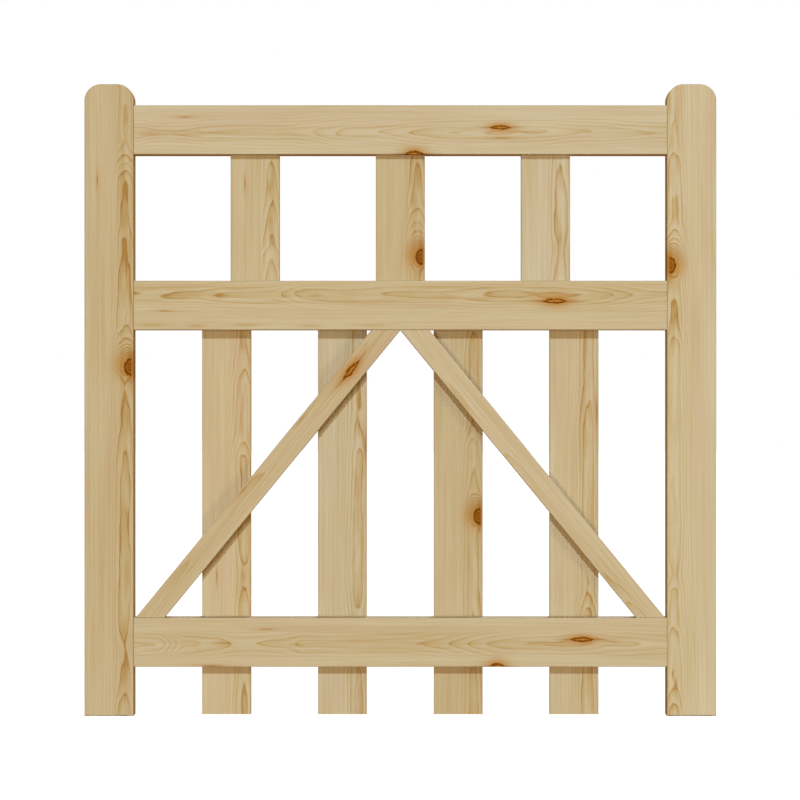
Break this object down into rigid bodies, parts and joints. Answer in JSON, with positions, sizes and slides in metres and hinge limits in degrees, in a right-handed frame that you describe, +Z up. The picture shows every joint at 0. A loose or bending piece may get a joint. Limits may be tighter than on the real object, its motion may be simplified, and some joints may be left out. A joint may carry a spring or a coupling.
{
  "type": "garden gate",
  "caption": "Small framed timber garden gate leaf: round-topped stiles, level rails, upright palings in two tiers and an inverted-V brace.",
  "frame": {"origin": "bottom centre of the whole leaf's box, on the line of the stile feet", "axes": "+X along the width from the left stile to the right stile, +Z up, and the framed side with the braces faces -Y"},
  "size_m": [0.9, 0.0534, 0.9],
  "materials": {
    "frame_timber": "planed softwood, untreated, matt",
    "paling_timber": "planed softwood, untreated, matt",
    "brace_timber": "planed softwood, untreated, matt",
    "dowel": "turned hardwood dowel, end grain showing",
    "galvanised_nail": "dull galvanised wire nail"
  },
  "bodies": {
    "root": {"bottom_rail": "frame_timber", "brace_left": "brace_timber", "brace_right": "brace_timber", "dowel_bottom_rail_left": "dowel", "dowel_bottom_rail_right": "dowel", "dowel_middle_rail_left": "dowel", "dowel_middle_rail_right": "dowel", "dowel_top_rail_left": "dowel", "dowel_top_rail_right": "dowel", "lower_paling_1": "paling_timber", "lower_paling_2": "paling_timber", "lower_paling_3": "paling_timber", "lower_paling_4": "paling_timber", "middle_rail": "frame_timber", "nail_brace_left_foot": "galvanised_nail", "nail_brace_left_head": "galvanised_nail", "nail_brace_left_lower_paling_1": "galvanised_nail", "nail_brace_left_lower_paling_2": "galvanised_nail", "nail_brace_right_foot": "galvanised_nail", "nail_brace_right_head": "galvanised_nail", "nail_brace_right_lower_paling_3": "galvanised_nail", "nail_brace_right_lower_paling_4": "galvanised_nail", "nail_lower_paling_1_high_a": "galvanised_nail", "nail_lower_paling_1_high_b": "galvanised_nail", "nail_lower_paling_1_low_a": "galvanised_nail", "nail_lower_paling_1_low_b": "galvanised_nail", "nail_lower_paling_2_high_a": "galvanised_nail", "nail_lower_paling_2_high_b": "galvanised_nail", "nail_lower_paling_2_low_a": "galvanised_nail", "nail_lower_paling_2_low_b": "galvanised_nail", "nail_lower_paling_3_high_a": "galvanised_nail", "nail_lower_paling_3_high_b": "galvanised_nail", "nail_lower_paling_3_low_a": "galvanised_nail", "nail_lower_paling_3_low_b": "galvanised_nail", "nail_lower_paling_4_high_a": "galvanised_nail", "nail_lower_paling_4_high_b": "galvanised_nail", "nail_lower_paling_4_low_a": "galvanised_nail", "nail_lower_paling_4_low_b": "galvanised_nail", "nail_upper_paling_1_foot": "galvanised_nail", "nail_upper_paling_1_top": "galvanised_nail", "nail_upper_paling_2_foot": "galvanised_nail", "nail_upper_paling_2_top": "galvanised_nail", "nail_upper_paling_3_foot": "galvanised_nail", "nail_upper_paling_3_top": "galvanised_nail", "stile_left": "frame_timber", "stile_right": "frame_timber", "top_rail": "frame_timber", "upper_paling_1": "paling_timber", "upper_paling_2": "paling_timber", "upper_paling_3": "paling_timber"}
  },
  "joints": []
}
